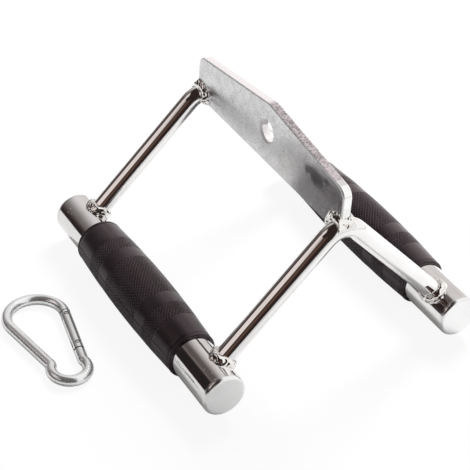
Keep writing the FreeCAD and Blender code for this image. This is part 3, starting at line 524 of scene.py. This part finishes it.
class GripMesh:
    """Gathers the rings, walls and diamonds of one knurled grip."""

    def __init__(self, node):
        low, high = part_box(node)
        self.axis_x = (low.x + high.x) / 2
        self.axis_z = (low.z + high.z) / 2
        self.belly = (high.z - low.z) / 2
        self.start = low.y
        self.end = high.y
        self.points = []
        self.faces = []
        self.flat = []

    def radius(self, y):
        """Radius of the barrel at y, before bands and grooves are taken off."""
        middle = (self.start + self.end) / 2
        share = (y - middle) / ((self.end - self.start) / 2)
        return self.belly - (self.belly - END_RADIUS) * share * share

    def point(self, turn, y, radius):
        """turn is in whole diamonds round the grip."""
        angle = 2 * math.pi * turn / DIAMONDS_ROUND
        x = self.axis_x + radius * math.sin(angle)
        z = self.axis_z + radius * math.cos(angle)
        self.points.append((x, y, z))
        return len(self.points) - 1

    def ring(self, y, radius):
        """A ring with three points for each diamond, at the places where a patch needs them."""
        half = DIAMOND_TOP_SHARE / 2
        places = (0, 0.5 - half, 0.5 + half)
        return [self.point(i + p, y, radius) for i in range(DIAMONDS_ROUND) for p in places]

    def face(self, corners, flat=False):
        self.faces.append(corners)
        self.flat.append(flat)

    def wall(self, first, second):
        """Faces between two rings, the second further along the grip."""
        count = len(first)
        for i in range(count):
            j = (i + 1) % count
            self.face((first[i], second[i], second[j], first[j]))

    def walls(self, rings):
        """Faces between each ring and the next."""
        for first, second in zip(rings, rings[1:]):
            self.wall(first, second)

    def patch(self, start, rows):
        """Rows of diamonds. Returns the rings at its two borders."""
        corner = {}
        top = {}
        for row in range(rows + 1):
            y = start + row * DIAMOND_ROW
            low = self.radius(y) - GROOVE_DEPTH
            shift = 0.5 * (row % 2)
            for i in range(DIAMONDS_ROUND):
                corner[row, i] = self.point(i + shift, y, low)
        for row in range(rows + 1):
            y = start + row * DIAMOND_ROW
            shift = 0.5 * (1 - row % 2)
            for i in range(DIAMONDS_ROUND):
                places = self.diamond_top(i + shift, y, row == 0, row == rows)
                top[row, i] = places
                self.diamond(corner, places, row, i)
        return self.border(corner, top, 0), self.border(corner, top, rows)

    def diamond_top(self, turn, y, first, last):
        """The raised corners of one diamond: left, far, right, near."""
        half = DIAMOND_TOP_SHARE / 2
        reach = DIAMOND_TOP_SHARE * DIAMOND_ROW
        left = self.point(turn - half, y, self.radius(y))
        far = None if last else self.point(turn, y + reach, self.radius(y + reach))
        right = self.point(turn + half, y, self.radius(y))
        near = None if first else self.point(turn, y - reach, self.radius(y - reach))
        return left, far, right, near

    def diamond(self, corner, top, row, i):
        """The slopes and the flat top of one diamond."""
        left, far, right, near = top
        step = row % 2
        west = corner[row, (i - step) % DIAMONDS_ROUND]
        east = corner[row, (i + 1 - step) % DIAMONDS_ROUND]
        if far is not None:
            north = corner[row + 1, i]
            self.face((west, left, far, north), True)
            self.face((north, far, right, east), True)
        if near is not None:
            south = corner[row - 1, i]
            self.face((east, right, near, south), True)
            self.face((south, near, left, west), True)
        self.face([p for p in (near, right, far, left) if p is not None][::-1], True)

    def border(self, corner, top, row):
        """The ring along a patch's first or last row, point for point as ring() makes it."""
        ring = []
        for i in range(DIAMONDS_ROUND):
            left, _, right, _ = top[row, i]
            ring += [corner[row, i], left, right]
        return ring

    def band(self, start, end):
        """A smooth band, slightly lower than the diamonds. Returns its first and last ring."""
        rings = []
        for i in range(BAND_STEPS + 1):
            y = start + (end - start) * i / BAND_STEPS
            rings.append(self.ring(y, self.radius(y) - BAND_DROP))
        self.walls(rings)
        return rings[0], rings[-1]

    def rim(self, at_start):
        """Rings of the rounded end and of the bore's mouth, in their order along the grip."""
        sign = 1 if at_start else -1
        end = self.start if at_start else self.end
        outer = END_RADIUS - BAND_DROP + LIP_RISE
        rings = []
        for i in range(RIM_STEPS + 1):
            angle = math.pi / 2 * i / RIM_STEPS
            y = end + sign * RIM_ROUND * (1 - math.cos(angle))
            rings.append(self.ring(y, outer - RIM_ROUND * (1 - math.sin(angle))))
        rings.append(self.ring(end + sign * LIP_LENGTH, outer))
        rings.append(self.ring(end + sign * (LIP_LENGTH + LIP_RISE), outer - LIP_RISE))
        mouth = self.ring(end, BORE_RADIUS)
        return [mouth, *rings] if at_start else [*rings[::-1], mouth]


def make_grip(node, rubber):
    """The barrel-shaped grip with three knurled patches between smooth bands."""
    grip = GripMesh(node)
    head = grip.rim(True)
    tail = grip.rim(False)
    inset = LIP_LENGTH + LIP_RISE
    here = grip.start + inset
    last = head[-1]
    for centre, rows in zip(PATCH_CENTRES, PATCH_ROWS):
        start = centre - rows * DIAMOND_ROW / 2
        first, end = grip.band(here, start)
        grip.wall(last, first)
        entry, last = grip.patch(start, rows)
        grip.wall(end, entry)
        here = start + rows * DIAMOND_ROW
    first, end = grip.band(here, grip.end - inset)
    grip.wall(last, first)
    grip.wall(end, tail[0])
    grip.walls(head)
    grip.walls(tail)
    grip.wall(tail[-1], head[0])
    smooth = [not flat for flat in grip.flat]
    piece = add_mesh(node + "_knurled", grip.points, grip.faces, rubber, smooth)
    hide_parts(node)
    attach(piece, "bar")


def make_mould_line(name, node, angle, nub, rubber):
    """The fine ridge that the two mould halves leave along a grip. nub is 1 on the gated one."""
    grip = GripMesh(node)
    first = grip.start + LIP_LENGTH
    last = grip.end - LIP_LENGTH
    rings = []
    for i in range(LINE_STEPS + 1):
        y = first + (last - first) * i / LINE_STEPS
        swell = nub * math.exp(-(((y - LINE_NUB_PLACE) / LINE_NUB_REACH) ** 2))
        half = LINE_HALF * (1 + LINE_NUB_WIDTH_SHARE * swell)
        height = LINE_HEIGHT * (1 + LINE_NUB_HEIGHT_SHARE * swell)
        foot = grip.radius(y) - BAND_DROP
        low = -GROOVE_DEPTH
        ring = []
        for across, lift in ((-half, low), (-half, 0), (0, height), (half, 0), (half, low)):
            turn = math.degrees(across / foot) + angle
            ring.append(grip.point(turn / 360 * DIAMONDS_ROUND, y, foot + lift))
        rings.append(ring)
    grip.walls(rings)
    grip.face(rings[0])
    grip.face(rings[-1][::-1])
    piece = add_mesh(name, grip.points, grip.faces, rubber, False)
    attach(piece, "bar")


def even_copy(node, spread):
    """A copy of a CAD node's mesh with evenly spread points."""
    copy = add_piece(node + "_even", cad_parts[node].data.copy())
    remesh = copy.modifiers.new("even", "REMESH")
    remesh.mode = "VOXEL"
    remesh.voxel_size = spread
    view = bpy.context.evaluated_depsgraph_get()
    mesh = bpy.data.meshes.new_from_object(copy.evaluated_get(view))
    bpy.data.objects.remove(copy)
    return mesh


def read_vectors(mesh, attribute):
    """One row for each point of a mesh."""
    values = np.zeros(len(mesh.vertices) * 3)
    mesh.vertices.foreach_get(attribute, values)
    return values.reshape(-1, 3)


def bead_rise(place, shift, weights):
    """How far lumps, knots and ripples lift a bead at a place, in shares of its lumps' height."""
    lump_grain, knot_grain, ripple_grain = BEAD_GRAINS
    lump = noise.noise(place / lump_grain + shift)
    knot = noise.noise(place / knot_grain - shift)
    ripple = 0.5 - abs(noise.noise(place / ripple_grain + shift * 2))
    return sum(weight * height for weight, height in zip(weights, (lump, knot, ripple)))


def make_bead(node, metal, lump, weights, seed, wing=None):
    """A weld bead with lumps and small overlapping ripples, laid over the CAD bead.

    wing is how far the bead reaches to each side before it runs out into the rod.
    """
    mesh = even_copy(node, BEAD_GRID)
    spots = read_vectors(mesh, "co")
    normals = read_vectors(mesh, "normal")
    centre = spots.mean(0)
    shift = Vector([seed * step for step in SEED_STEPS])
    if wing:
        past = np.maximum(np.abs(spots[:, 0]) - wing, 0)
        spots[:, 0] -= np.sign(spots[:, 0]) * past * WING_TRIM_SHARE
    for spot, normal in zip(spots, normals):
        spot += normal * lump * bead_rise(Vector(spot - centre) / MM, shift, weights)
    mesh.vertices.foreach_set("co", spots.ravel())
    mesh.polygons.foreach_set("use_smooth", [True] * len(mesh.polygons))
    give_material(mesh, metal)
    mesh.update()
    piece = add_piece(node + "_bead", mesh)
    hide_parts(node)
    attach(piece, "bar")


def make_spring(metal):
    """The gate's coil spring, which the plunger presses shorter as the gate opens; here a fixed
    copy.
    """
    piece = add_piece("snap_hook_coil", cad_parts["snap_hook_spring"].data.copy())
    give_material(piece.data, metal)
    hinge, along = gate_line()
    reach = [(vertex.co - hinge).dot(along) for vertex in piece.data.vertices]
    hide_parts("snap_hook_spring")
    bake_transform(piece)


def dress(nodes, material):
    """Gives CAD nodes a material of the scene."""
    for node in nodes:
        give_material(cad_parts[node].data, material)


def dress_bar():
    """Chromed tubes, caps and rods, and the satin plate."""
    tube = make_metal(
        "chrome_tube", bright=tone(248, 247, 247), dull=tone(240, 238, 238),
        roughness=(0.025, 0.1), ripple=0.01 * MM, motes=0.7,
    )
    cap = make_metal(
        "chrome_cap", bright=tone(247, 247, 247), dull=tone(242, 242, 242),
        roughness=(0.2, 0.3), ripple=0.004 * MM,
    )
    rod = make_metal(
        "chrome_rod", bright=tone(250, 249, 249), dull=tone(244, 243, 242),
        roughness=(0.02, 0.07), ripple=0.008 * MM,
    )
    dress([f"{side}_handle_tube" for side in SIDES], tube)
    dress([f"{place}_end_cap" for place in ENDS_OF_SIDES], cap)
    dress([f"{end}_rod" for end in ENDS], rod)
    dress(["hanger_plate"], make_plate_metal())


def dress_snap_hook():
    """Zinc-plated wire, a smoother gate, plain pins and the spring."""
    wire = make_metal(
        "zinc_wire", bright=tone(251, 252, 253), dull=tone(238, 239, 239), roughness=(0.13, 0.34),
        ripple=0.04 * MM, wave=1.3 * MM, pits=0.25, metallic=0.8, joints=True,
    )
    gate = make_metal(
        "zinc_gate", bright=tone(250, 251, 252), dull=tone(241, 242, 242), roughness=(0.07, 0.16),
        ripple=0.012 * MM, wave=1.6 * MM, pits=0.1, metallic=0.86, joints=True,
    )
    pin = make_metal(
        "zinc_pin", bright=tone(206, 205, 203), dull=tone(180, 178, 175),
        roughness=(0.14, 0.3), ripple=0.01 * MM,
    )
    spring = make_metal(
        "spring_wire", bright=tone(190, 188, 186), dull=tone(160, 157, 154),
        roughness=(0.15, 0.3), ripple=0.004 * MM,
    )
    dress(["snap_hook_body"], wire)
    dress(["snap_hook_gate"], gate)
    dress(["snap_hook_rivet", "snap_hook_latch_pin", "snap_hook_plunger"], pin)
    make_spring(spring)


def make_grips():
    rubber = make_rubber()
    for side in SIDES:
        make_grip(f"{side}_grip", rubber)
        for part, angle in LINE_ANGLES.items():
            nub = 1 if part == "gated" else 0
            make_mould_line(f"{side}_grip_{part}_mould_line", f"{side}_grip", angle, nub, rubber)


def make_beads():
    metal = make_weld_metal()
    for seed, place in enumerate(ENDS_OF_SIDES, FOOT_SEED):
        make_bead(f"{place}_foot_weld", metal, FOOT_LUMP, FOOT_WEIGHTS, seed)
    for seed, end in enumerate(ENDS, PLATE_SEED):
        make_bead(f"{end}_plate_weld", metal, PLATE_LUMP, PLATE_WEIGHTS, seed, PLATE_WING)


def card_share(shade, aside, ahead, half, softness):
    """1 within so many degrees of a card's middle, to one side and the other."""
    angle = shade.magnitude(shade.math("ARCTAN2", aside, ahead))
    outer = math.radians(half + softness / 2)
    inner = math.radians(half - softness / 2)
    return shade.smooth(angle, outer, inner)


def add_card(shade, colour, direction, card):
    """Lays one card over what the dome shows so far."""
    azimuth = math.radians(card.azimuth)
    elevation = math.radians(card.elevation)
    level = math.cos(elevation)
    ahead = Vector((math.sin(azimuth) * level, math.cos(azimuth) * level, math.sin(elevation)))
    across = Vector((math.cos(azimuth), -math.sin(azimuth), 0))
    up = across.cross(ahead)
    depth, aside, lift = [shade.dot(direction, axis) for axis in (ahead, across, up)]
    width = card_share(shade, aside, depth, card.half_width, card.softness)
    height = card_share(shade, lift, depth, card.half_height, card.softness)
    return shade.mix(shade.times(width, height), colour, tone(*card.shown))


def back_wall_colour(shade, azimuth, z):
    """The studio's grey back wall, paler to the right, and a slightly paler band across it.

    The band's upper border bows down towards both sides.
    """
    wall = shade.mix(shade.smooth(azimuth, -0.35, 0.6), tone(92, 84, 82), tone(216, 212, 210))
    band = shade.mix(shade.smooth(azimuth, -0.7, 0.4), tone(102, 96, 94), tone(220, 216, 215))
    border = shade.line(shade.times(azimuth, azimuth), -0.5, 0.72)
    under = shade.smooth(shade.minus(border, z), -0.05, 0.05)
    return shade.mix(shade.times(under, shade.smooth(z, 0.33, 0.45)), wall, band)


def back_wall_share(shade, azimuth, z):
    """1 where the back wall stands, behind the part and below the ceiling."""
    sides = shade.times(shade.smooth(azimuth, -0.75, -0.6), shade.smooth(azimuth, 1.15, 0.9))
    return shade.times(sides, shade.smooth(z, 0.86, 0.76))


def dome_colour(shade):
    """Dark to the left and white to the right, with the back wall and the cards over that."""
    direction = shade.vector("NORMALIZE", shade.put("TexCoord").outputs["Object"])
    x, y, z = shade.split(direction)
    azimuth = shade.math("ARCTAN2", x, y)
    colour = shade.mix(shade.smooth(x, 0.02, 0.16), tone(46, 37, 35), tone(252, 251, 250))
    wall = back_wall_colour(shade, azimuth, z)
    colour = shade.mix(back_wall_share(shade, azimuth, z), colour, wall)
    for card in CARDS:
        colour = add_card(shade, colour, direction, card)
    return colour


def dome_mesh():
    """Points and faces of the half dome, row by row from the floor to the top."""
    points = []
    for row in range(DOME_ROWS + 1):
        lift = math.pi / 2 * row / DOME_ROWS
        across = DOME_RADIUS * math.cos(lift)
        height = CAD_BOX[0].z + DOME_RADIUS * math.sin(lift)
        for column in range(DOME_COLUMNS):
            turn = 2 * math.pi * column / DOME_COLUMNS
            points.append((across * math.sin(turn), across * math.cos(turn), height))
    faces = []
    for row in range(DOME_ROWS):
        low = row * DOME_COLUMNS
        high = low + DOME_COLUMNS
        for column in range(DOME_COLUMNS):
            after = (column + 1) % DOME_COLUMNS
            faces.append((low + column, low + after, high + after, high + column))
    return points, faces


def make_dome():
    """A half dome round the floor that stands for studio walls and cards in reflections."""
    material, shade = new_material("studio_cards")
    shade.finish(shade.put("Emission", {0: dome_colour(shade), 1: 1.0}).outputs[0])
    points, faces = dome_mesh()
    dome = add_mesh("studio_dome", points, faces, material, True)
    dome.visible_camera = False
    dome.visible_diffuse = False
    dome.visible_shadow = False


def make_floor():
    """Pale floor, nearly white to the camera. Metal sees it with its shadow and a soft shine."""
    material, shade = new_material("studio_floor")
    cloud = shade.noise(grain=FLOOR_CLOUD, detail=2.0)
    colour = shade.mix(cloud, tone(250, 250, 250), tone(246, 246, 246))
    matt = shade.put("BsdfDiffuse", {0: colour}).outputs[0]
    shine = shade.put("BsdfAnisotropic", {"Color": colour, "Roughness": 0.5}).outputs[0]
    light = shade.put("Emission", {0: WHITE, 1: 1.0}).outputs[0]
    path = shade.put("LightPath").outputs
    mirrored = shade.larger(path["Is Glossy Ray"], path["Is Transmission Ray"])
    shiny = shade.times(mirrored, FLOOR_SHINE_SHARE)
    white = shade.times(path["Is Camera Ray"], FLOOR_WHITE_SHARE)
    surface = shade.put("MixShader", {0: shiny, 1: matt, 2: shine}).outputs[0]
    shade.finish(shade.put("MixShader", {0: white, 1: surface, 2: light}).outputs[0])
    signs = ((-1, -1), (1, -1), (1, 1), (-1, 1))
    corners = [(x * FLOOR_REACH, y * FLOOR_REACH, CAD_BOX[0].z) for x, y in signs]
    floor = add_mesh("studio_floor", corners, [(0, 1, 2, 3)], material, False)


def make_world():
    """White to the camera, and a weaker light on the part."""
    world = bpy.data.worlds.new("studio")
    bpy.context.scene.world = world
    world.use_nodes = True
    shade = Shade(world.node_tree)
    path = shade.put("LightPath").outputs
    seen = shade.larger(path["Is Camera Ray"], path["Is Transmission Ray"])
    strength = shade.line(seen, 1 - WORLD_LIGHT, WORLD_LIGHT)
    shade.finish(shade.put("Background", {0: WHITE, 1: strength}).outputs[0], "OutputWorld")


def make_lamp(name, place, width, power):
    """A large soft lamp that looks at the part. Reflections see the cards instead."""
    light = bpy.data.lights.new(name, "AREA")
    light.shape = "DISK"
    light.size = width
    light.energy = power
    lamp = add_piece(name, light)
    lamp.location = place
    lamp.rotation_euler = (LAMP_TARGET - Vector(place)).to_track_quat("-Z", "Y").to_euler()
    lamp.visible_glossy = False


def make_camera():
    camera = add_piece("camera", bpy.data.cameras.new("camera"))
    camera.data.lens = LENS
    camera.data.sensor_width = SENSOR
    up = [-v for v in CAMERA_DOWN]
    back = [-v for v in CAMERA_FORWARD]
    axes = Matrix((CAMERA_RIGHT, up, back)).transposed()
    camera.matrix_world = Matrix.Translation(CAMERA_PLACE) @ axes.to_4x4()
    bpy.context.scene.camera = camera


make_camera()
bpy.context.scene.view_settings.view_transform = "Standard"
make_world()
make_floor()
make_dome()
for lamp in LAMPS:
    make_lamp(*lamp)

dress_bar()
dress_snap_hook()
make_grips()
make_beads()
